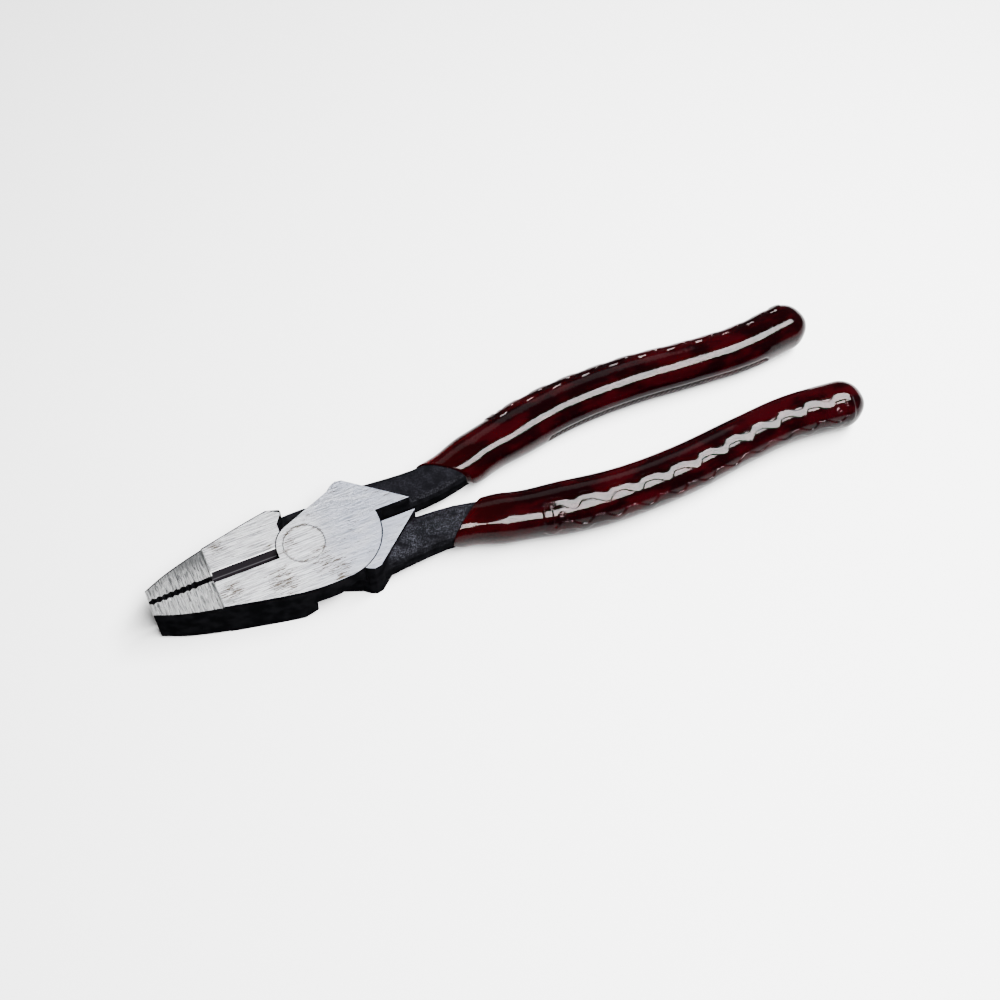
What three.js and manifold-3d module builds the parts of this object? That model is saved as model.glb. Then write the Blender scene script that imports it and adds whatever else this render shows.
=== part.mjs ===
// Lineman pliers: two identical forgings crossing in a lap joint, a flush rivet and two moulded grips.
// Millimetres. +X runs from the rivet to the handles, the jaws point to -X, +Z is up.
// The origin is on the rivet's axis, in the plane that the closed tool lies on.

import * as THREE from 'three';
import { mergeVertices } from 'three/addons/utils/BufferGeometryUtils.js';
import Module from 'manifold-3d';

const wasm = await Module();
wasm.setup();

// ---- Driving dimensions ----

const noseX = -48;              // tip of the jaws
const handleEndX = 189.8;       // end of the grips: 238 mm over all
const headThickness = 16;
const halfHead = headThickness / 2;
const draft = 0.25;             // the forged sides stand this much prouder at the mid-plane

const tipHalfGap = 0.55;        // half the gap between the closed jaws at the tip
const rearHalfGap = 0.85;       // and in front of the knives
const noseTaperX = -28.7;       // the crosswise-ground nose faces start here with a step
const noseStep = 0.5;
const noseTaperDrop = 1.2;      // how far they lie below the head's faces at the tip
const toothCount = 8;
const toothPitch = 1.8;
const toothDepth = 0.5;
const knifeFrontX = -28.7;      // the knives run from here back to the joint disc
const knifeBackX = -8.3;
const knifeHalfOpening = 1.95;  // half the V between the knives, at the ground faces
const knifeHalfGap = 0.3;       // half the gap between the cutting edges
const knifeEdgeLand = 0.15;     // half height of the blunt line where the knives meet

const rivetRadius = 6.2;
const rivetClearance = 0.2;
const lapGap = 0.3;             // between the two halves of the lap joint
const discFrontRadius = 8.3;    // front of the joint disc, about the rivet
const discRearCentreX = 7.8;    // the disc's rear is an arc about a centre behind the rivet
const discRearRadius = 16;
const jointClearance = 0.35;    // between a disc and the lever that it turns against

const slotHalfWidth = 2.3;      // half the straight slot between the two necks
const slotFrontX = 23.4;
const neckTipX = 35;            // where the ground face ends in a point
const earTop = { x: 16.2, y: 16.7 };
const earRear = { x: 18.3, y: 16.3 };

const gripClearance = 0.3;
const lipCentre = { x: 50.5, y: 8.8 };
const lipAngle = THREE.MathUtils.degToRad(52);
const gripDomeLength = 8.5;

const arcStep = THREE.MathUtils.degToRad(5);
const tangFromX = 14;
const tangToX = 176;

// The middle of a handle, seen from above, on its +Y side.
const handleLine = new THREE.SplineCurve([
  [10, 10.2], [30, 8.4], [45, 8.6], [57, 11.3], [70, 14.5], [95, 18.8],
  [120, 19.3], [145, 17], [165, 16.1], [handleEndX, 19],
].map(([x, y]) => new THREE.Vector2(x, y)));

// Half width and half thickness at stations along X.
const tangSizes = [
  [tangFromX, 6.6, 6.6], [26, 6.3, 6.4], [45, 5.9, 5.8],
  [80, 6.3, 5.2], [140, 5.6, 4.8], [tangToX, 4.6, 4.2],
];
const gripSizes = [
  [40, 6.7, 6.4], [50, 7, 6.6], [62, 8.1, 7.2], [82, 9.1, 8],
  [115, 8.7, 7.6], [150, 8.2, 7.6], [handleEndX, 8.4, 8],
];

// ---- Shape helpers ----

const point = (x, y) => new THREE.Vector2(x, y);

function arc(centreX, centreY, radius, fromDegrees, toDegrees) {
  const from = THREE.MathUtils.degToRad(fromDegrees);
  const to = THREE.MathUtils.degToRad(toDegrees);
  const steps = Math.max(1, Math.round(Math.abs(to - from) / arcStep));
  const points = [];
  for (let i = 0; i <= steps; i += 1) {
    const angle = from + ((to - from) * i) / steps;
    points.push(point(centreX + radius * Math.cos(angle), centreY + radius * Math.sin(angle)));
  }
  return points;
}

function prism(points, fromZ, toZ) {
  const shape = new THREE.Shape(points);
  const geometry = new THREE.ExtrudeGeometry(shape, { depth: toZ - fromZ, bevelEnabled: false });
  return geometry.translate(0, 0, fromZ);
}

function draftedBlank(points) {
  const belt = 1;
  const geometry = new THREE.ExtrudeGeometry(new THREE.Shape(points), {
    depth: belt, bevelThickness: halfHead - belt / 2, bevelSize: draft, bevelSegments: 1,
  });
  return geometry.translate(0, 0, -belt / 2);
}

function toSolid(geometry) {
  const bare = geometry.clone();
  bare.deleteAttribute('normal');
  bare.deleteAttribute('uv');
  const merged = mergeVertices(bare, 1e-4);
  return new wasm.Manifold(new wasm.Mesh({
    numProp: 3,
    vertProperties: new Float32Array(merged.attributes.position.array),
    triVerts: new Uint32Array(merged.index.array),
  }));
}

function toGeometry(solid) {
  const mesh = solid.getMesh();
  const geometry = new THREE.BufferGeometry();
  geometry.setAttribute('position', new THREE.BufferAttribute(mesh.vertProperties, 3));
  geometry.setIndex(new THREE.BufferAttribute(mesh.triVerts, 1));
  geometry.computeVertexNormals();
  return geometry;
}

function sizeAt(sizes, x) {
  let i = 0;
  while (i < sizes.length - 2 && x > sizes[i + 1][0]) i += 1;
  const t = THREE.MathUtils.smoothstep(x, sizes[i][0], sizes[i + 1][0]);
  const halfWidth = THREE.MathUtils.lerp(sizes[i][1], sizes[i + 1][1], t);
  const halfHeight = THREE.MathUtils.lerp(sizes[i][2], sizes[i + 1][2], t);
  return { halfWidth, halfHeight };
}

// A closed skin over rounded-rectangle sections standing across the handle line.
function handleLoft({ fromX, toX, stations, sides, sizes, grow = 0, domeLength = 0, squareness = 2.7 }) {
  const line = handleLine.getSpacedPoints(400);
  const vertices = [];
  for (let i = 0; i <= stations; i += 1) {
    const even = i / stations;
    const x = fromX + (toX - fromX) * (domeLength > 0 ? 1 - (1 - even) ** 1.5 : even);
    const k = line.findIndex((p, j) => j > 0 && p.x >= x - 1e-6);
    const [a, b] = k < 0 ? line.slice(-2) : [line[k - 1], line[k]];
    const t = (x - a.x) / (b.x - a.x);
    const centre = a.clone().lerp(b, t);
    const across = point(-(b.y - a.y), b.x - a.x).normalize();
    const { halfWidth, halfHeight } = sizeAt(sizes, x);
    const toEnd = (toX - x) / domeLength;
    const dome = domeLength > 0 && toEnd < 1 ? Math.sqrt(Math.max(0.004, 1 - (1 - toEnd) ** 2)) : 1;
    for (let s = 0; s < sides; s += 1) {
      const angle = (2 * Math.PI * (s + 0.5)) / sides;
      const c = Math.cos(angle);
      const d = Math.sin(angle);
      const u = Math.sign(c) * Math.abs(c) ** (2 / squareness) * (halfWidth + grow) * dome;
      const w = Math.sign(d) * Math.abs(d) ** (2 / squareness) * (halfHeight + grow) * dome;
      vertices.push(centre.x + across.x * u, centre.y + across.y * u, w);
    }
  }
  const faces = [];
  for (let i = 0; i < stations; i += 1) {
    for (let s = 0; s < sides; s += 1) {
      const here = i * sides + s;
      const next = i * sides + ((s + 1) % sides);
      faces.push(here, next, here + sides, next, next + sides, here + sides);
    }
  }
  const last = stations * sides;
  for (let s = 1; s < sides - 1; s += 1) {
    faces.push(0, s + 1, s);
    faces.push(last, last + s, last + s + 1);
  }
  const geometry = new THREE.BufferGeometry();
  geometry.setAttribute('position', new THREE.Float32BufferAttribute(vertices, 3));
  geometry.setIndex(faces);
  return geometry;
}

// ---- The lever: near jaw (-Y), upper half of the lap joint, far handle (+Y) ----

const outside = 40;             // reach of the cutters past the forging

// Forged outline with drafted sides. Its inner edges run past the straight walls that are cut below.
const jawSide = new THREE.SplineCurve([
  [noseX, -4.2], [-41.5, -7], [-35, -9], [noseTaperX, -10.6],
  [-20, -12.6], [-10.4, -14.7], [-2, -16], [6.4, -16.1],
].map(([x, y]) => point(x, y)));
const forgedOutline = [
  ...jawSide.getPoints(18),
  ...arc(discRearCentreX, 0, discRearRadius, -90, 4).slice(1),
  point(slotFrontX + 1.4, 0),
  point(neckTipX + 2, 0),
  point(neckTipX, slotHalfWidth),
  point(earRear.x, earRear.y),
  point(earTop.x, earTop.y),
  point(14.3, 15.8),
  point(-3.6, 9.4),
  point(-12, 4),
  point(noseX, 2),
];

// Straight-walled outline of the upper layer: teeth, knife line, disc front, ear front, disc rear, slot.
const gripFaceY = (x) => -THREE.MathUtils.mapLinear(x, noseX, knifeFrontX, tipHalfGap, rearHalfGap);
const teeth = [];
for (let i = 0; i < toothCount; i += 1) {
  const crestX = noseX + toothPitch * (i + 0.25);
  const rootX = crestX + toothPitch / 2;
  teeth.push(point(crestX, gripFaceY(crestX)), point(rootX, gripFaceY(rootX) - toothDepth));
}
const teethEndX = noseX + toothPitch * (toothCount + 0.25);
const upperWalls = [
  point(noseX, -outside),
  point(noseX, -tipHalfGap),
  ...teeth,
  point(teethEndX, gripFaceY(teethEndX)),
  point(knifeFrontX, -rearHalfGap),
  point(knifeFrontX, -knifeHalfGap),
  point(knifeBackX, -knifeHalfGap),
  ...arc(0, 0, discFrontRadius, 180, 113),
  point(12.6, 14.3),
  point(14.2, 15.7),
  point(15, outside),
  point(outside, outside),
  point(outside, slotHalfWidth),
  ...arc(discRearCentreX, 0, discRearRadius, 8, -90),
  point(discRearCentreX, -outside),
];

// What the other lever's disc and ear leave free in the lower layer.
const lowerCutter = [
  point(-2.2, -outside),
  point(-2.5, -14),
  point(-3.2, -12.4),
  point(-5.2, -9.6),
  ...arc(0, 0, discFrontRadius + jointClearance, 232, 180),
  point(-discFrontRadius - jointClearance, 5),
  point(-20, 10),
  point(-20, outside),
  point(11.6, outside),
  point(12.6, 15.9),
  ...arc(discRearCentreX, 0, discRearRadius + jointClearance, 72, 8),
  point(outside, slotHalfWidth),
  point(outside + 10, slotHalfWidth),
  point(outside + 10, -outside),
];

// Everything on the far side of a plane through three points, as seen with them running anticlockwise.
function beyondPlane(a, b, c) {
  const normal = new THREE.Plane().setFromCoplanarPoints(a, b, c).normal;
  const turn = new THREE.Quaternion().setFromUnitVectors(new THREE.Vector3(0, 0, 1), normal);
  return new THREE.BoxGeometry(outside, outside, outside).translate(0, 0, outside / 2)
    .applyQuaternion(turn).translate(a.x, a.y, a.z);
}

// The clipped outer corner of the jaw's shoulder, below the lap.
const shoulderClip = beyondPlane(
  new THREE.Vector3(-7, -15.5, -halfHead),
  new THREE.Vector3(-3.1, -13.2, -halfHead),
  new THREE.Vector3(-2.2, -16.6, -halfHead + 4),
);

function knifeBevel(side) {
  const section = new THREE.Shape([
    point(knifeHalfOpening, side * knifeEdgeLand),
    point(-knifeHalfGap, side * knifeEdgeLand),
    point(-knifeHalfOpening, side * halfHead),
    point(-knifeHalfOpening, side * (halfHead + 1)),
    point(knifeHalfOpening, side * (halfHead + 1)),
  ]);
  const length = knifeBackX - knifeFrontX;
  const geometry = new THREE.ExtrudeGeometry(section, { depth: length, bevelEnabled: false });
  return geometry.rotateY(Math.PI / 2).rotateX(Math.PI / 2).translate(knifeFrontX, 0, 0);
}

function noseGrinding(side) {
  const section = [
    point(noseTaperX, side * (halfHead - noseStep)),
    point(noseX - 1, side * (halfHead - noseTaperDrop)),
    point(noseX - 1, side * (halfHead + 1)),
    point(noseTaperX, side * (halfHead + 1)),
  ];
  return prism(section, -outside, outside).rotateX(Math.PI / 2);
}

const rivetHole = new THREE.CylinderGeometry(
  rivetRadius + rivetClearance, rivetRadius + rivetClearance, headThickness + 2, 48).rotateX(Math.PI / 2);

const tang = toSolid(handleLoft({
  fromX: tangFromX, toX: tangToX, stations: 30, sides: 20, sizes: tangSizes,
}));
const slotWall = toSolid(prism([
  point(-outside, -outside), point(neckTipX + 4, -outside), point(neckTipX + 4, slotHalfWidth - 0.7),
  point(neckTipX - 1, slotHalfWidth), point(-outside, slotHalfWidth),
], -halfHead - 1, halfHead + 1));

const neck = tang
  .subtract(toSolid(new THREE.CylinderGeometry(
    discRearRadius + jointClearance, discRearRadius + jointClearance, headThickness + 2, 72)
    .rotateX(Math.PI / 2).translate(discRearCentreX, 0, 0)))
  .subtract(slotWall);

const lever = toSolid(draftedBlank(forgedOutline))
  .intersect(toSolid(prism(upperWalls, -halfHead, halfHead)))
  .subtract(toSolid(prism(lowerCutter, -halfHead - 1, lapGap / 2)))
  .subtract(toSolid(knifeBevel(1)))
  .subtract(toSolid(knifeBevel(-1)))
  .subtract(toSolid(noseGrinding(1)))
  .subtract(toSolid(noseGrinding(-1)))
  .subtract(toSolid(shoulderClip))
  .add(neck)
  .subtract(toSolid(rivetHole));

// ---- Grip: a blind moulded sleeve on the tang ----

const lipCutter = new THREE.BoxGeometry(outside, 2 * outside, 2 * outside)
  .translate(-outside / 2, 0, 0).rotateZ(lipAngle).translate(lipCentre.x, lipCentre.y, 0);

const grip = toSolid(handleLoft({
  fromX: 40, toX: handleEndX, stations: 40, sides: 24, sizes: gripSizes,
  domeLength: gripDomeLength, squareness: 2.4,
}))
  .subtract(toSolid(lipCutter))
  .subtract(toSolid(handleLoft({
    fromX: tangFromX, toX: tangToX + gripClearance, stations: 30, sides: 20,
    sizes: tangSizes, grow: gripClearance,
  })));

// ---- Assembly ----

const steel = new THREE.MeshStandardMaterial({ color: 0x8c9097, roughness: 0.4, metalness: 1 });
const rivetSteel = new THREE.MeshStandardMaterial({ color: 0xa3a6ab, roughness: 0.35, metalness: 1 });
const gripPlastic = new THREE.MeshStandardMaterial({ color: 0x5a0a12, roughness: 0.15, metalness: 0 });

const pliers = new THREE.Group();
pliers.position.z = halfHead;

function addHalf(letter, turn) {
  const half = new THREE.Group();
  half.rotation.x = turn;
  const leverMesh = new THREE.Mesh(toGeometry(lever), steel);
  leverMesh.name = `lever_${letter}`;
  const gripMesh = new THREE.Mesh(toGeometry(grip), gripPlastic);
  gripMesh.name = `grip_${letter}`;
  half.add(leverMesh, gripMesh);
  pliers.add(half);
}

addHalf('a', 0);
addHalf('b', Math.PI);

const rivet = new THREE.Mesh(
  new THREE.CylinderGeometry(rivetRadius, rivetRadius, headThickness, 48).rotateX(Math.PI / 2), rivetSteel);
rivet.name = 'rivet';
pliers.add(rivet);

export default pliers;
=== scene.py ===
# Lineman pliers lying closed on a pale floor, seen from above the near side.
# Lengths below are millimetres, and mm() turns them into Blender's metres.

import math

import bpy
import numpy as np
from mathutils import Matrix, Vector


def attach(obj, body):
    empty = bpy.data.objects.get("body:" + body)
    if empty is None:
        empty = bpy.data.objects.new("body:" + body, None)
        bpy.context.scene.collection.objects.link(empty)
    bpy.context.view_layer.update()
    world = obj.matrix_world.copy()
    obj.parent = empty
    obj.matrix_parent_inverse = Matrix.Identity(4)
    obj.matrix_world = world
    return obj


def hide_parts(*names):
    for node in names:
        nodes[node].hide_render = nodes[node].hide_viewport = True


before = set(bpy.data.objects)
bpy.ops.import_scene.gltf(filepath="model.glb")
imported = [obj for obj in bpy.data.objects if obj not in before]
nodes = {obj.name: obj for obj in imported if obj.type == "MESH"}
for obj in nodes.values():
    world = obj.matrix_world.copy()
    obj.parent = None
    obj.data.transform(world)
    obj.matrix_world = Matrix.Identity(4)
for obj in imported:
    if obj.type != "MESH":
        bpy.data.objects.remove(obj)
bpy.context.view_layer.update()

# ---- Driving sizes ----

HALF_HEAD = 8.0
GRIP_END_X = 189.8
GRIP_DOME = 8.5
TANG_FROM_X = 14.0
TANG_TO_X = 176.0
CAVITY_GAP = 0.12
LIP_POINT = (50.5, 8.8)
LIP_ANGLE = math.radians(52)
LIP_ROUND = 0.45
LIP_UNDERCUT = 6.5        # how much further back the lip starts underneath
INSET_FROM_X = 56.0
LIP_INSET = 0.06          # the skin's inset in front of INSET_FROM_X, where it is thin around the tang
SKIN_INSET = 0.3          # the moulded skin stays this far inside the solid's facets

HANDLE_LINE = [
    (10, 10.2), (30, 8.4), (45, 8.6), (57, 11.3), (70, 14.5), (95, 18.8),
    (120, 19.3), (145, 17), (165, 16.1), (GRIP_END_X, 19),
]
TANG_SIZES = [(TANG_FROM_X, 6.6, 6.6), (26, 6.3, 6.4), (45, 5.9, 5.8), (80, 6.3, 5.2), (140, 5.6, 4.8),
              (TANG_TO_X, 4.6, 4.2)]
GRIP_SIZES = [(40, 6.7, 6.4), (50, 7, 6.6), (62, 8.1, 7.2), (82, 9.1, 8), (115, 8.7, 7.6),
              (150, 8.2, 7.6), (GRIP_END_X, 8.4, 8)]
GRIP_SQUARENESS = 2.4
TANG_SQUARENESS = 2.7

PAD_FRONT_X = 73.0
PAD_REAR_X = 182.0
PAD_WAVES = 10.5
PAD_RIBBON = 2.9          # width of the raised wavy ribbon
PAD_HALF_SPAN = 4.2       # from the pad's middle line to the middle of each ribbon, around the grip
PAD_SWING = 1.1           # how far the ribbon swings to each side
PAD_HEIGHT = 0.36
PAD_EDGE = 0.2            # width of a ribbon's sloped edge
# The near grip's upper ribbon is flat. It faces this many degrees above level at each x.
PAD_FACING = [(60, 67.5), (100, 73), (150, 79), (182, 82)]
STRIP_FROM_X = 88.0
STRIP_TO_X = 168.0
STRIP_HALF_WIDTH = 2.3
STRIP_DEPTH = 0.55
STRIP_EDGE = 0.35         # width of the strip's sloped edge
STRIP_TURN = math.radians(195)  # around the handle, from its outer side
RIB_HEIGHT = 0.5
RIB_SPACING = 1.9
RIB_SLANT = 0.55
DIMPLE_FROM_PAD_END = 4.2
DIMPLE_OFF_MIDDLE = 0.6
DIMPLE_RADIUS = 0.75
DIMPLE_RIM = (0.16, 0.22)  # height and half width
ARC_RADIUS = 8.2          # turns an angle around the grip into an arc in mm

# The skin's mesh. Columns are closer together near the pad.
SKIN_ROWS = 620
SKIN_COLUMNS = 300
PAD_CROWDING = 3.5
PAD_CROWDING_SPREAD = math.radians(50)
LIP_FACE_ROWS = (0.06, 0.5, 0.94)
CAVITY_ROWS = 60


def mm(value):
    return value / 1000.0


# ---- Camera, floor and lights ----

CAMERA_AZIMUTH = -28.49
CAMERA_ELEVATION = 58.01
CAMERA_ROLL = 3.81
CAMERA_DISTANCE = 411.3
CAMERA_AIM = (62.47, -5.75, 8.0)
FOCAL_WIDTHS = 1.3083     # focal length over the image's width
SENSOR_WIDTH = 36.0


def add_camera():
    azimuth = math.radians(CAMERA_AZIMUTH)
    elevation = math.radians(CAMERA_ELEVATION)
    back = Vector((
        math.sin(azimuth) * math.cos(elevation),
        -math.cos(azimuth) * math.cos(elevation),
        math.sin(elevation),
    ))
    right = Vector((math.cos(azimuth), math.sin(azimuth), 0))
    up = back.cross(right)
    turn = Matrix((right, up, back)).transposed() @ Matrix.Rotation(math.radians(CAMERA_ROLL), 3, "Z")
    data = bpy.data.cameras.new("camera")
    data.sensor_width = SENSOR_WIDTH
    data.lens = FOCAL_WIDTHS * SENSOR_WIDTH
    data.clip_start = 0.01
    camera = bpy.data.objects.new("camera", data)
    place = Vector(CAMERA_AIM) + back * CAMERA_DISTANCE
    camera.matrix_world = Matrix.Translation(place / 1000.0) @ turn.to_4x4()
    bpy.context.collection.objects.link(camera)
    bpy.context.scene.camera = camera


def add_area_light(name, place, aim, size, power):
    data = bpy.data.lights.new(name, "AREA")
    data.shape = "RECTANGLE"
    data.size = mm(size[0])
    data.size_y = mm(size[1])
    data.energy = power
    light = bpy.data.objects.new(name, data)
    light.location = Vector(place) / 1000.0
    direction = Vector(aim) - Vector(place)
    light.rotation_euler = direction.to_track_quat("-Z", "Y").to_euler()
    bpy.context.collection.objects.link(light)


def add_floor():
    bpy.ops.mesh.primitive_plane_add(size=6, location=(0, 0, 0))
    floor = bpy.context.object
    floor.name = "floor"
    material = bpy.data.materials.new("floor")
    material.use_nodes = True
    shader = material.node_tree.nodes["Principled BSDF"]
    shader.inputs["Base Color"].default_value = (0.37, 0.37, 0.37, 1)
    shader.inputs["Roughness"].default_value = 0.9
    shader.inputs["Specular IOR Level"].default_value = 0.1
    floor.data.materials.append(material)


add_camera()
add_floor()
world = bpy.data.worlds.new("studio")
bpy.context.scene.world = world
world.use_nodes = True
world.node_tree.nodes["Background"].inputs["Color"].default_value = (1, 1, 1, 1)
world.node_tree.nodes["Background"].inputs["Strength"].default_value = 0.25
add_area_light("softbox", (237, -120, 510), (102, 25, 10), (720, 185), 65.0)
add_area_light("rear_card", (60, 420, 420), (60, 0, 0), (700, 200), 1.5)


# ---- Handle geometry, the same formulas as the solids' ----


def spline_point(points, t):
    """A uniform Catmull-Rom spline through the points, t from 0 to 1."""
    place = (len(points) - 1) * t
    i = min(int(place), len(points) - 2)
    w = place - i
    p0 = points[max(i - 1, 0)]
    p1 = points[i]
    p2 = points[i + 1]
    p3 = points[min(i + 2, len(points) - 1)]
    v0 = (p2 - p0) / 2
    v1 = (p3 - p1) / 2
    return ((2 * p1 - 2 * p2 + v0 + v1) * w + (-3 * p1 + 3 * p2 - 2 * v0 - v1)) * w * w + v0 * w + p1


HANDLE_SAMPLES = np.array([
    spline_point(np.array(HANDLE_LINE, float), k / 2000) for k in range(2001)
])


def handle_centre(x):
    """Distance from the tool's middle line, and its slope, at x."""
    y = np.interp(x, HANDLE_SAMPLES[:, 0], HANDLE_SAMPLES[:, 1])
    ahead = np.interp(x + 0.5, HANDLE_SAMPLES[:, 0], HANDLE_SAMPLES[:, 1])
    behind = np.interp(x - 0.5, HANDLE_SAMPLES[:, 0], HANDLE_SAMPLES[:, 1])
    reach = np.minimum(x + 0.5, GRIP_END_X) - np.maximum(x - 0.5, HANDLE_SAMPLES[0, 0])
    return y, (ahead - behind) / reach


def smoothstep(t):
    t = np.clip(t, 0, 1)
    return t * t * (3 - 2 * t)


def size_at(sizes, x):
    half_width = np.full_like(x, sizes[0][1])
    half_height = np.full_like(x, sizes[0][2])
    for (x0, w0, h0), (x1, w1, h1) in zip(sizes, sizes[1:]):
        t = smoothstep((x - x0) / (x1 - x0))
        inside = x > x0
        half_width = np.where(inside, w0 + (w1 - w0) * t, half_width)
        half_height = np.where(inside, h0 + (h1 - h0) * t, half_height)
    return half_width, half_height


def section(sizes, x, angle, squareness, grow, shrink):
    """Offsets across and up of a rounded-rectangle section at x, towards the given angle."""
    half_width, half_height = size_at(sizes, x)
    c, d = np.cos(angle), np.sin(angle)
    across = np.sign(c) * np.abs(c) ** (2 / squareness) * (half_width + grow) * shrink
    up = np.sign(d) * np.abs(d) ** (2 / squareness) * (half_height + grow) * shrink
    return across, up


def place_on_handle(x, across, up):
    y, slope = handle_centre(x)
    length = np.sqrt(1 + slope * slope)
    return np.stack([x - slope / length * across, y + across / length, up], axis=-1)


def lip_x(sizes, angle, squareness, grow):
    """Where the grip's slanted front starts at each angle, found in small steps."""
    x = np.full_like(angle, LIP_POINT[0])
    for _ in range(60):
        across, up = section(sizes, x, angle, squareness, grow, 1.0)
        p = place_on_handle(x, across, up)
        past_x = (p[..., 0] - LIP_POINT[0]) * math.cos(LIP_ANGLE)
        past_y = (p[..., 1] - LIP_POINT[1]) * math.sin(LIP_ANGLE)
        x = x - 0.5 * (past_x + past_y)
    return x + LIP_UNDERCUT * smoothstep((0.05 - np.sin(angle)) / 0.9)


# ---- Grips ----


def wave(phase):
    """One swing of the ribbon: a flat crest, a slanted fall, a round trough and a steep rise."""
    t = phase - np.floor(phase)
    knots = np.array([0.0, 0.08, 0.38, 0.68, 0.84, 0.93, 1.0])
    values = np.array([0.35, 1.0, 0.85, -0.75, -1.0, -0.6, 0.35])
    return np.interp(t, knots, values)


def soft_wave(phase):
    total = np.zeros_like(phase)
    for k in range(-2, 3):
        total += wave(phase + k * 0.02)
    return total / 5


def step_edge(distance, half_width, bevel=PAD_EDGE):
    """1 inside a band, 0 outside it, with a narrow sloped edge."""
    return smoothstep((half_width - distance) / bevel + 0.5)


def pad_relief(x, around, upper_lift):
    """Height of the anti-slip pad over the grip. around is the arc from the pad's middle line, in mm."""
    length = PAD_REAR_X - PAD_FRONT_X
    phase = (x - PAD_FRONT_X) / length * PAD_WAVES
    upper = PAD_HALF_SPAN + PAD_SWING * soft_wave(phase)
    lower = -PAD_HALF_SPAN + PAD_SWING * soft_wave(phase - 0.27)
    past_end = np.maximum(np.maximum(PAD_FRONT_X - x, x - PAD_REAR_X), 0)
    far_upper = np.hypot(around - upper, past_end)
    far_lower = np.hypot(around - lower, past_end)
    between = (around < upper) & (around > lower)
    far_end = np.minimum(np.abs(x - PAD_FRONT_X), np.abs(x - PAD_REAR_X)) + np.where(between, 0, 99)
    ribbon = step_edge(np.minimum(np.minimum(far_upper, far_lower), far_end), PAD_RIBBON / 2)
    on_upper = step_edge(far_upper, PAD_RIBBON / 2)
    relief = PAD_HEIGHT * ribbon + upper_lift * on_upper
    rim_height, rim_half_width = DIMPLE_RIM
    for dimple_x in (PAD_FRONT_X + DIMPLE_FROM_PAD_END, PAD_REAR_X - DIMPLE_FROM_PAD_END):
        ring = np.abs(np.hypot(x - dimple_x, around - DIMPLE_OFF_MIDDLE) - DIMPLE_RADIUS)
        relief = relief + rim_height * step_edge(ring, rim_half_width)
    return relief


def strip_relief(x, around):
    """A sunk strip with small slanted ribs along the grip's inner side."""
    past_end = np.maximum(np.maximum(STRIP_FROM_X - x, x - STRIP_TO_X), 0)
    off_middle = np.hypot(past_end, around)
    floor = step_edge(off_middle, STRIP_HALF_WIDTH, STRIP_EDGE)
    rib_phase = (x + RIB_SLANT * around) / RIB_SPACING
    rib = smoothstep((np.cos(2 * np.pi * rib_phase) + 0.1) * 1.6)
    inner = step_edge(off_middle, STRIP_HALF_WIDTH - 0.6, STRIP_EDGE)
    return -STRIP_DEPTH * floor + RIB_HEIGHT * rib * inner


def flat_facing(across, up, facing, middle):
    """Lift that turns the skin to face one way. It is zero where middle is zero."""
    step_across = np.roll(across, -1, axis=1) - across
    step_up = np.roll(up, -1, axis=1) - up
    normal = np.arctan2(-step_across, step_up)
    excess = np.angle(np.exp(1j * (normal - facing)))
    slope = np.tan(np.clip(excess, -0.45, 0.45))
    lift = np.cumsum(slope * np.hypot(step_across, step_up), axis=1)
    level = np.array([row[np.argmin(np.abs(m))] for row, m in zip(lift, middle)])
    return np.clip(lift - level[:, None], -0.4, 0.25)


def crowded_angles(pad_centre):
    """Angles of the skin's columns, closer together around the pad."""
    fine = np.linspace(-np.pi, np.pi, 4001)
    density = 1 + PAD_CROWDING * np.exp(-(fine / PAD_CROWDING_SPREAD) ** 4)
    reach = np.concatenate([[0], np.cumsum(density[:-1])])
    return pad_centre + np.interp(np.arange(SKIN_COLUMNS) / SKIN_COLUMNS, reach / reach[-1], fine)


def turned(angle):
    """The same angle between -180 and 180 degrees, in radians."""
    return np.angle(np.exp(1j * angle))


def outer_skin(side, pad_centre, angles):
    """Rows of points from the lip to the rounded end."""
    front = lip_x(GRIP_SIZES, angles, GRIP_SQUARENESS, 0.0)
    t = np.linspace(0, 1, SKIN_ROWS)[:, None]
    t = 1 - (1 - t) ** 1.06
    x = front[None, :] + (GRIP_END_X - 1e-4 - front[None, :]) * t
    angle = np.broadcast_to(angles, x.shape)
    to_end = (GRIP_END_X - x) / GRIP_DOME
    dome = np.where(to_end < 1, np.sqrt(np.clip(1 - (1 - to_end) ** 2, 0.0, 1)), 1.0)
    across, up = section(GRIP_SIZES, x, angle, GRIP_SQUARENESS, 0.0, dome)
    direction = np.arctan2(up, across)

    lift = np.zeros_like(x)
    if side < 0:
        ribbon_middle = pad_centre + PAD_HALF_SPAN / ARC_RADIUS
        facing = np.radians(np.interp(x, *zip(*PAD_FACING)))
        lift = flat_facing(across, up, facing, direction - ribbon_middle)
    relief = pad_relief(x, turned(direction - pad_centre) * ARC_RADIUS, lift)
    relief = relief + strip_relief(x, turned(direction - STRIP_TURN) * ARC_RADIUS)

    from_lip = x - front[None, :]
    rounding = np.where(from_lip < LIP_ROUND, LIP_ROUND - np.sqrt(
        np.clip(LIP_ROUND ** 2 - (LIP_ROUND - from_lip) ** 2, 0, None)), 0)
    full_inset = smoothstep((x - INSET_FROM_X) / (PAD_FRONT_X - INSET_FROM_X))
    inset = LIP_INSET + (PAD_HEIGHT + SKIN_INSET - LIP_INSET) * full_inset
    relief = relief - inset - rounding * 0.9
    scale = 1 + relief * dome / np.maximum(np.hypot(across, up), 1e-6)
    return place_on_handle(x, across * scale, up * scale)


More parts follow.
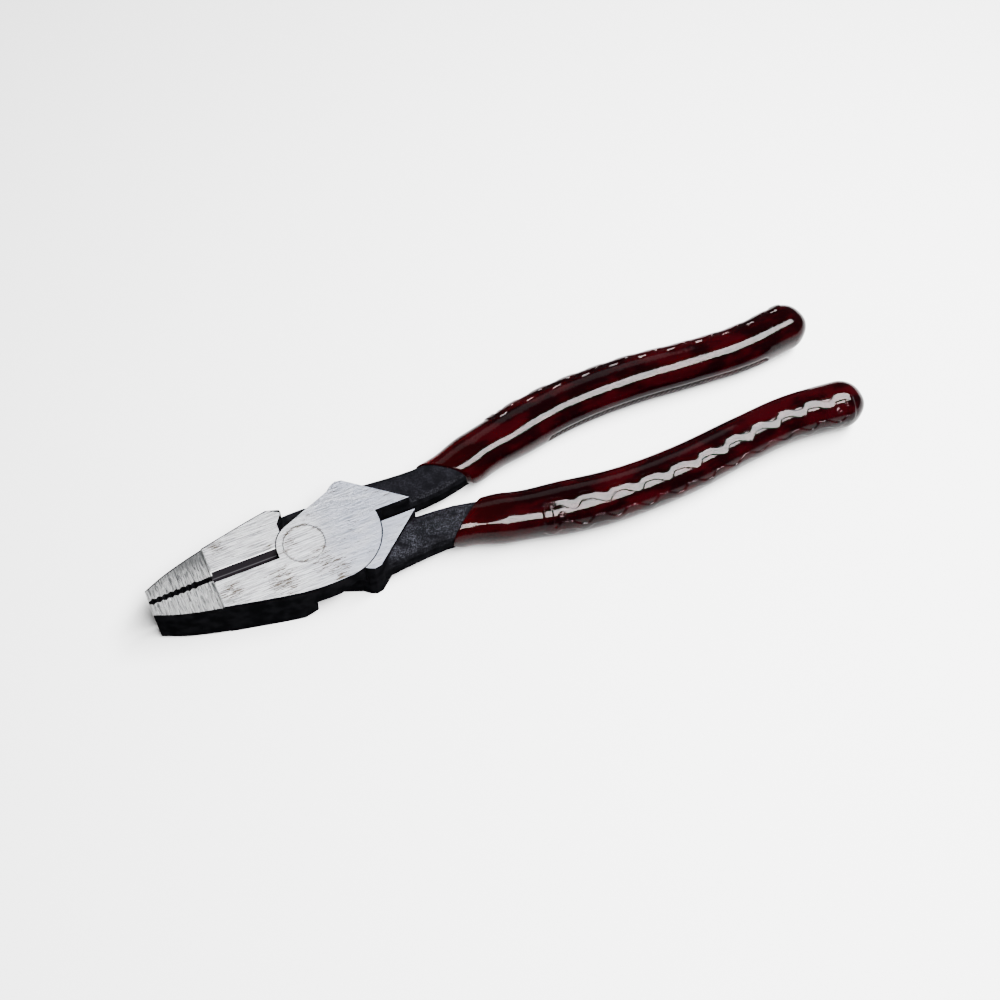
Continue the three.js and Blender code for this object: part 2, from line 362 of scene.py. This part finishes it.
def cavity_skin(angles):
    """Rows of points from the lip to the blind end of the tang's cavity."""
    front = lip_x(TANG_SIZES, angles, TANG_SQUARENESS, CAVITY_GAP)
    end = TANG_TO_X + CAVITY_GAP
    x = front[None, :] + (end - front[None, :]) * np.linspace(0, 1, CAVITY_ROWS)[:, None]
    shrink = np.where(end - x < 1.0, 1 - 0.25 * (1 - (end - x)) ** 2, 1.0)
    angle = np.broadcast_to(angles, x.shape)
    across, up = section(TANG_SIZES, x, angle, TANG_SQUARENESS, CAVITY_GAP, shrink)
    return place_on_handle(x, across, up)


def grip_skin(side, pad_centre):
    """Rows of points from the grip's rounded end over the lip into the cavity."""
    angles = crowded_angles(pad_centre)
    outer = outer_skin(side, pad_centre, angles)
    inner = cavity_skin(angles)
    lip = [outer[0] + (inner[0] - outer[0]) * part for part in LIP_FACE_ROWS]
    points = np.concatenate([outer[::-1], np.array(lip), inner])
    points[..., 1] *= side
    points[..., 2] += HALF_HEAD
    return points


def skin_mesh(name, rings):
    """A closed smooth mesh through rings of points."""
    count, columns = rings.shape[:2]
    vertices = rings.reshape(-1, 3) / 1000.0
    index = np.arange(count * columns).reshape(count, columns)
    nxt = np.roll(index, -1, axis=1)
    quads = np.stack([index[:-1], nxt[:-1], nxt[1:], index[1:]], axis=-1).reshape(-1, 4)
    faces = quads.tolist()
    faces.append(index[0].tolist())
    faces.append(index[-1][::-1].tolist())
    mesh = bpy.data.meshes.new(name)
    mesh.from_pydata(vertices.tolist(), [], faces)
    mesh.validate()
    mesh.update()
    piece = bpy.data.objects.new(name, mesh)
    bpy.context.collection.objects.link(piece)
    bpy.context.view_layer.objects.active = piece
    piece.select_set(True)
    bpy.ops.object.mode_set(mode="EDIT")
    bpy.ops.mesh.select_all(action="SELECT")
    bpy.ops.mesh.normals_make_consistent(inside=False)
    bpy.ops.object.mode_set(mode="OBJECT")
    piece.select_set(False)
    for polygon in mesh.polygons:
        polygon.use_smooth = True
    return piece


# ---- Materials ----


class Nodes:
    """Short names for making a material's nodes."""

    def __init__(self, name):
        self.material = bpy.data.materials.new(name)
        self.material.use_nodes = True
        self.tree = self.material.node_tree
        self.shader = self.tree.nodes["Principled BSDF"]
        self.output = self.tree.nodes["Material Output"]

    def link(self, source, target):
        self.tree.links.new(source, target)

    def put(self, socket, value):
        if isinstance(value, bpy.types.NodeSocket):
            self.link(value, socket)
        else:
            socket.default_value = value

    def math(self, kind, a, b=0.0):
        node = self.tree.nodes.new("ShaderNodeMath")
        node.operation = kind
        self.put(node.inputs[0], a)
        self.put(node.inputs[1], b)
        return node.outputs[0]

    def product(self, first, *others):
        for other in others:
            first = self.math("MULTIPLY", first, other)
        return first

    def above(self, value, limit):
        return self.math("GREATER_THAN", value, limit)

    def below(self, value, limit):
        return self.math("LESS_THAN", value, limit)

    def absolute(self, value):
        return self.math("ABSOLUTE", value)

    def distance(self, dx, dy):
        return self.math("SQRT", self.math("ADD", self.product(dx, dx), self.product(dy, dy)))

    def ramp(self, value, low, high):
        """0 below low, 1 above high."""
        node = self.tree.nodes.new("ShaderNodeMapRange")
        node.interpolation_type = "SMOOTHSTEP"
        self.put(node.inputs["Value"], value)
        node.inputs["From Min"].default_value = low
        node.inputs["From Max"].default_value = high
        return node.outputs["Result"]

    def fall(self, value, low, high):
        """1 below low, 0 above high."""
        return self.math("SUBTRACT", 1.0, self.ramp(value, low, high))

    def scale_to(self, value, low, high):
        """Maps 0..1 to low..high."""
        node = self.tree.nodes.new("ShaderNodeMapRange")
        self.put(node.inputs["Value"], value)
        node.inputs["To Min"].default_value = low
        node.inputs["To Max"].default_value = high
        return node.outputs["Result"]

    def mix(self, factor, a, b):
        node = self.tree.nodes.new("ShaderNodeMix")
        node.data_type = "RGBA"
        self.put(node.inputs[0], factor)
        self.put(node.inputs[6], a)
        self.put(node.inputs[7], b)
        return node.outputs[2]

    def position(self):
        """The point on the piece at rest, in millimetres."""
        coordinate = self.tree.nodes.new("ShaderNodeTexCoord")
        scaled = self.tree.nodes.new("ShaderNodeVectorMath")
        scaled.operation = "SCALE"
        scaled.inputs["Scale"].default_value = 1000.0
        self.link(coordinate.outputs["Object"], scaled.inputs[0])
        return scaled.outputs[0]

    def stretched(self, position, stretch, turn=0.0):
        node = self.tree.nodes.new("ShaderNodeMapping")
        node.inputs["Scale"].default_value = stretch
        node.inputs["Rotation"].default_value = (0, 0, turn)
        self.link(position, node.inputs["Vector"])
        return node.outputs["Vector"]

    def noise(self, position, scale, detail=4.0, roughness=0.6, distortion=0.0):
        node = self.tree.nodes.new("ShaderNodeTexNoise")
        node.inputs["Scale"].default_value = scale
        node.inputs["Detail"].default_value = detail
        node.inputs["Roughness"].default_value = roughness
        node.inputs["Distortion"].default_value = distortion
        self.link(position, node.inputs["Vector"])
        return node.outputs["Fac"]

    def axes(self, vector):
        node = self.tree.nodes.new("ShaderNodeSeparateXYZ")
        self.link(vector, node.inputs[0])
        return node.outputs

    def bump(self, height, distance, strength):
        node = self.tree.nodes.new("ShaderNodeBump")
        node.inputs["Distance"].default_value = mm(distance)
        node.inputs["Strength"].default_value = strength
        self.link(height, node.inputs["Height"])
        return node.outputs["Normal"]


KNIFE_FRONT_X = -28.7
KNIFE_BACK_X = -8.2
KNIFE_HALF_WIDTH = 2.3
HEAD_END_X = 36.5
RIVET_RING = 6.3
# The jaws' outer side, from the nose to beside the pivot.
JAW_SIDE = [
    (-48, 4.2), (-41.5, 7), (-35, 9), (-28.5, 10.6), (-20, 12.6), (-10.4, 14.7), (-2, 16),
]
# Worn and stained patches of the ground faces: middle and radius.
PATCHES = [
    (-25, -7, 5.5), (-24.5, 9, 4), (-10.5, 3, 3), (-4.5, 1.5, 3.5),
    (3, -7.5, 6), (-10, -10, 7), (6, -12, 6),
]

GROUND_DARK = (0.0605, 0.0616, 0.066, 1)
GROUND_LIGHT = (0.231, 0.2321, 0.2376, 1)
GROUND_REAR = (0.078, 0.0845, 0.106, 1)
GROUND_CLOUD = (0.143, 0.1452, 0.154, 1)
NOSE_DARK = (0.0248, 0.0259, 0.0275, 1)
NOSE_LIGHT = (0.2365, 0.2393, 0.2393, 1)
NOSE_SHADE = (0.033, 0.0341, 0.0358, 1)
STAIN = (0.022, 0.0155, 0.0105, 1)
# Painted highlight for the bevelled edges of the ground faces.
EDGE_HIGHLIGHT = (0.4675, 0.4675, 0.4675, 1)
# Painted shade for the far jaw's outer edges.
FAR_EDGE_SHADE = (0.0066, 0.0066, 0.00715, 1)
RIVET_DARK = (0.066, 0.0671, 0.0726, 1)
RIVET_LIGHT = (0.22, 0.2222, 0.231, 1)
FORGED_DARK = (0.00066, 0.00066, 0.00077, 1)
FORGED_LIGHT = (0.00165, 0.00165, 0.00193, 1)
TANG = (0.0011, 0.0011, 0.0014, 1)
# Cast specks on the tangs: lighter on the near tang (painted light), darker on the far one (painted
# shade).
TANG_SPECK_NEAR_LIT = (0.0105, 0.0108, 0.0132, 1)
TANG_SPECK_FAR_SHADED = (0.0036, 0.0036, 0.0046, 1)
# Specks of wear on the tangs' upper corners, painted lighter as a highlight.
TANG_CORNER_WEAR_HIGHLIGHT = (0.011, 0.011, 0.0128, 1)
KNIFE = (0.0044, 0.00396, 0.00468, 1)
KNIFE_LINE = (0.021, 0.0195, 0.0215, 1)
# Painted shade for the near lever's knife face.
KNIFE_NEAR_SHADE = (0.00083, 0.00083, 0.00099, 1)
VINYL_DARK = (0.0112, 0.0005, 0.00161, 1)
VINYL_RED = (0.0527, 0.00124, 0.00403, 1)
# Painted light: a redder tint for light shining through the vinyl near the lip.
VINYL_LIP_GLOW = (0.065, 0.0024, 0.0032, 1)
VINYL_ABSORPTION = (0.72, 0.06, 0.1, 1)


class SteelAreas:
    """Masks that part the levers' surface."""

    def __init__(self, n, position):
        self.x, self.y, z = n.axes(position)
        geometry = n.tree.nodes.new("ShaderNodeNewGeometry")
        _, facing_y, up = n.axes(geometry.outputs["True Normal"])
        tilt = n.absolute(up)
        self.off_middle = n.absolute(n.math("SUBTRACT", z, HALF_HEAD))

        # Ground faces, lower on the nose, and their bevelled edges.
        self.nose = n.below(self.x, KNIFE_FRONT_X + 0.3)
        high = n.math(
            "MAXIMUM",
            n.above(self.off_middle, HALF_HEAD - 0.34),
            n.product(self.nose, n.above(self.off_middle, HALF_HEAD - 1.75)),
        )
        self.ground = n.product(high, n.below(self.x, HEAD_END_X), n.above(tilt, 0.2))
        self.edge = n.product(self.ground, n.below(tilt, 0.96))
        self.outer_edge = n.product(n.above(facing_y, 0.12), n.above(self.y, 3.0))

        self.knife = n.product(
            n.below(n.absolute(self.y), KNIFE_HALF_WIDTH),
            n.above(self.x, KNIFE_FRONT_X - 0.1),
            n.below(self.x, KNIFE_BACK_X),
        )

        # The tang's upper side, and the rounded corners beside it.
        on_tang = n.ramp(self.x, 20.0, 24.0)
        self.tang = n.product(on_tang, n.ramp(up, -0.2, 0.75))
        self.tang_corner = n.product(n.ramp(up, 0.5, 0.62), n.fall(up, 0.72, 0.84), on_tang)


def far_edge_shade_line(n, x, y):
    """A painted shade line: a thin dark line along the outer side of the far jaw."""
    limit = 99.0
    for (x0, y0), (x1, y1) in zip(JAW_SIDE, JAW_SIDE[1:]):
        slope = (y1 - y0) / (x1 - x0)
        side = n.math("ADD", n.product(x, slope), y0 - slope * x0)
        limit = n.math("MINIMUM", limit, side)
    line = n.fall(n.math("SUBTRACT", limit, y), 0.22, 0.5)
    return n.product(line, n.below(x, -4.5))


def stain_mask(n, position, x, y):
    """Brown-grey streaks that gather in a few patches and along the rivet's edge."""
    off_ring = n.absolute(n.math("SUBTRACT", n.distance(x, y), RIVET_RING))
    where = n.product(n.fall(off_ring, 0.2, 0.9), 0.9)
    for patch_x, patch_y, radius in PATCHES:
        dx = n.math("SUBTRACT", x, patch_x)
        dy = n.math("SUBTRACT", y, patch_y)
        where = n.math("MAXIMUM", where, n.fall(n.distance(dx, dy), radius * 0.3, radius))
    streak = n.noise(n.stretched(position, (0.28, 2.1, 0.3), 0.12), 0.8, 8.0, 0.72, 0.5)
    threshold = n.math("ADD", streak, n.product(where, 0.13))
    dash = n.noise(n.stretched(position, (0.35, 3.2, 0.3), 0.12), 1.1, 3.0, 0.6, 0.3)
    broken = n.scale_to(n.ramp(dash, 0.46, 0.51), 0.05, 1.0)
    return n.product(n.ramp(threshold, 0.585, 0.62), broken)


def long_scratches(n, position, turn):
    return n.noise(n.stretched(position, (0.09, 2.2, 0.2), turn), 1.5, 7.0, 0.75)


def ground_colour(n, position, areas, scratch, across, stain):
    """Ground steel: bluish towards the rear, clouded, dark lined on the nose, with painted shade on the
    far jaw's nose, stained, with a painted highlight at the bevelled edges and a painted shade line along
    the far edges.
    """
    cloud = n.noise(n.stretched(position, (0.25, 0.7, 0.3)), 0.4, 4.0)
    rear = n.product(n.ramp(areas.x, -9.0, 18.0), 0.8)
    bright = n.mix(scratch, GROUND_DARK, GROUND_LIGHT)
    bright = n.mix(rear, bright, GROUND_REAR)
    bright = n.mix(n.product(n.ramp(cloud, 0.47, 0.62), 0.35), bright, GROUND_CLOUD)
    nose_lines = n.mix(n.ramp(across, 0.40, 0.56), NOSE_DARK, NOSE_LIGHT)
    nose_shade = n.product(areas.nose, n.ramp(areas.y, 2.0, 9.0), 0.85)
    bright = n.mix(areas.nose, bright, nose_lines)
    bright = n.mix(nose_shade, bright, NOSE_SHADE)
    bright = n.mix(n.product(stain, 0.96), bright, STAIN)
    # Painted highlight: the bevelled edges are painted near-white in place of the light they reflect.
    bright = n.mix(areas.edge, bright, EDGE_HIGHLIGHT)
    # Painted shade: a dark line on the bevelled edges that face +Y and along the far jaw's outer side.
    outline = n.math(
        "MAXIMUM", n.product(areas.edge, areas.outer_edge), far_edge_shade_line(n, areas.x, areas.y)
    )
    return n.mix(outline, bright, FAR_EDGE_SHADE)


def forged_colour(n, areas, grain, lumps):
    """Blackened steel. The tangs have a coarse cast grain. Its specks are painted lighter on the near tang
    and only on the upper side (painted light), and specks of wear on their upper corners are painted as a
    highlight. The knives have a lighter line, and the near lever's knife face is painted black as shade.
    """
    speck = n.product(n.ramp(grain, 0.50, 0.58), n.ramp(lumps, 0.3, 0.6))
    black = n.mix(n.ramp(lumps, 0.35, 0.7), FORGED_DARK, FORGED_LIGHT)
    black = n.mix(n.product(areas.tang, 0.75), black, TANG)
    # Painted light: the specks are lighter on the near tang than on the far one, and only on the upper
    # side.
    specks = n.mix(n.ramp(areas.y, -6.0, 6.0), TANG_SPECK_NEAR_LIT, TANG_SPECK_FAR_SHADED)
    black = n.mix(n.product(speck, areas.tang), black, specks)
    # Wear specks on the upward-facing tang corners, partly a painted highlight.
    worn_and_highlight = n.product(areas.tang_corner, n.ramp(grain, 0.50, 0.57))
    black = n.mix(n.product(worn_and_highlight, 0.6), black, TANG_CORNER_WEAR_HIGHLIGHT)
    line = n.fall(n.absolute(n.math("SUBTRACT", areas.off_middle, 4.6)), 0.1, 0.35)
    blade = n.mix(line, KNIFE, KNIFE_LINE)
    # Painted shade: the near lever's knife face (y below zero) is made black.
    blade = n.mix(n.below(areas.y, -0.15), blade, KNIFE_NEAR_SHADE)
    return n.mix(areas.knife, black, blade)


def steel_material():
    n = Nodes("lever_steel")
    position = n.position()
    areas = SteelAreas(n, position)

    # Grinding: long scratches along the tool on the head, across it on the nose.
    along = long_scratches(n, position, 0.06)
    across = n.noise(n.stretched(position, (2.0, 0.22, 0.2), 0.22), 1.0, 6.0, 0.75, 0.5)
    scratch = n.mix(areas.nose, n.ramp(along, 0.38, 0.62), n.ramp(across, 0.4, 0.6))
    stain = n.product(
        stain_mask(n, position, areas.x, areas.y), n.scale_to(areas.nose, 1.0, 0.25)
    )
    grain = n.noise(position, 2.6, 5.0, 0.65)
    lumps = n.noise(position, 0.28, 3.0, 0.5)
    bright = ground_colour(n, position, areas, scratch, across, stain)
    black = forged_colour(n, areas, grain, lumps)

    n.link(n.mix(areas.ground, black, bright), n.shader.inputs["Base Color"])
    # The bevelled edges are not metallic, so their painted highlight shows as a near-white colour.
    n.link(n.math("SUBTRACT", areas.ground, areas.edge), n.shader.inputs["Metallic"])
    n.shader.inputs["IOR"].default_value = 1.0
    ground_roughness = n.math("ADD", n.scale_to(scratch, 0.46, 0.34), n.product(stain, 0.2))
    roughness = n.mix(areas.ground, n.scale_to(grain, 0.4, 0.65), ground_roughness)
    n.link(roughness, n.shader.inputs["Roughness"])
    cast = n.math("ADD", grain, n.product(lumps, 1.2))
    cast = n.product(cast, n.scale_to(areas.tang, 0.5, 2.2))
    height = n.mix(areas.ground, cast, scratch)
    n.link(n.bump(height, 0.09, 0.6), n.shader.inputs["Normal"])
    return n.material


def rivet_material():
    n = Nodes("rivet_steel")
    position = n.position()
    x, y, _ = n.axes(position)
    scratch = n.ramp(long_scratches(n, position, 0.05), 0.38, 0.62)
    stain = stain_mask(n, position, x, y)
    bright = n.mix(scratch, RIVET_DARK, RIVET_LIGHT)
    bright = n.mix(n.product(stain, 0.95), bright, STAIN)
    n.link(bright, n.shader.inputs["Base Color"])
    n.shader.inputs["Metallic"].default_value = 1.0
    n.link(n.scale_to(scratch, 0.46, 0.34), n.shader.inputs["Roughness"])
    n.link(n.bump(scratch, 0.09, 0.5), n.shader.inputs["Normal"])
    return n.material


def grip_material():
    """Dark red see-through vinyl over the black tang, painted a little redder towards the lip as painted
    light, for light shining through the vinyl there.
    """
    n = Nodes("grip_vinyl")
    position = n.position()
    mottle = n.noise(n.stretched(position, (0.35, 0.8, 0.8)), 0.22, 5.0, 0.6)
    red = n.mix(n.ramp(mottle, 0.42, 0.62), VINYL_DARK, VINYL_RED)
    # Painted light: redder towards the lip, for light shining through the vinyl there.
    lip_side = n.fall(n.axes(position)[0], 50.0, 70.0)
    red = n.mix(n.product(lip_side, 0.35), red, VINYL_LIP_GLOW)
    n.link(red, n.shader.inputs["Base Color"])
    n.shader.inputs["Transmission Weight"].default_value = 0.93
    n.shader.inputs["IOR"].default_value = 1.14
    smear = n.noise(n.stretched(position, (0.5, 1.0, 1.0)), 0.25, 4.0)
    n.link(n.scale_to(smear, 0.03, 0.1), n.shader.inputs["Roughness"])
    ripple = n.noise(position, 0.16, 2.0, 0.5)
    n.link(n.bump(ripple, 0.2, 0.4), n.shader.inputs["Normal"])
    absorb = n.tree.nodes.new("ShaderNodeVolumeAbsorption")
    absorb.inputs["Color"].default_value = VINYL_ABSORPTION
    absorb.inputs["Density"].default_value = 1000.0
    n.link(absorb.outputs["Volume"], n.output.inputs["Volume"])
    return n.material


# ---- Pieces ----


def finish_lever(node, material):
    node.data.materials.clear()
    node.data.materials.append(material)
    node.data.shade_smooth()
    bevel = node.modifiers.new("edges", "BEVEL")
    bevel.width = mm(0.22)
    bevel.segments = 2
    bevel.limit_method = "ANGLE"
    bevel.angle_limit = math.radians(32)
    bevel.harden_normals = True
    bevel.use_clamp_overlap = True


steel = steel_material()
finish_lever(nodes["lever_a"], steel)
finish_lever(nodes["lever_b"], steel)
finish_lever(nodes["rivet"], rivet_material())

vinyl = grip_material()
for letter, side, pad_degrees in (("a", 1, 16), ("b", -1, 42)):
    grip = skin_mesh(f"moulded_grip_{letter}", grip_skin(side, math.radians(pad_degrees)))
    grip.data.materials.append(vinyl)
    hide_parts(f"grip_{letter}")
    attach(grip, f"half_{letter}")
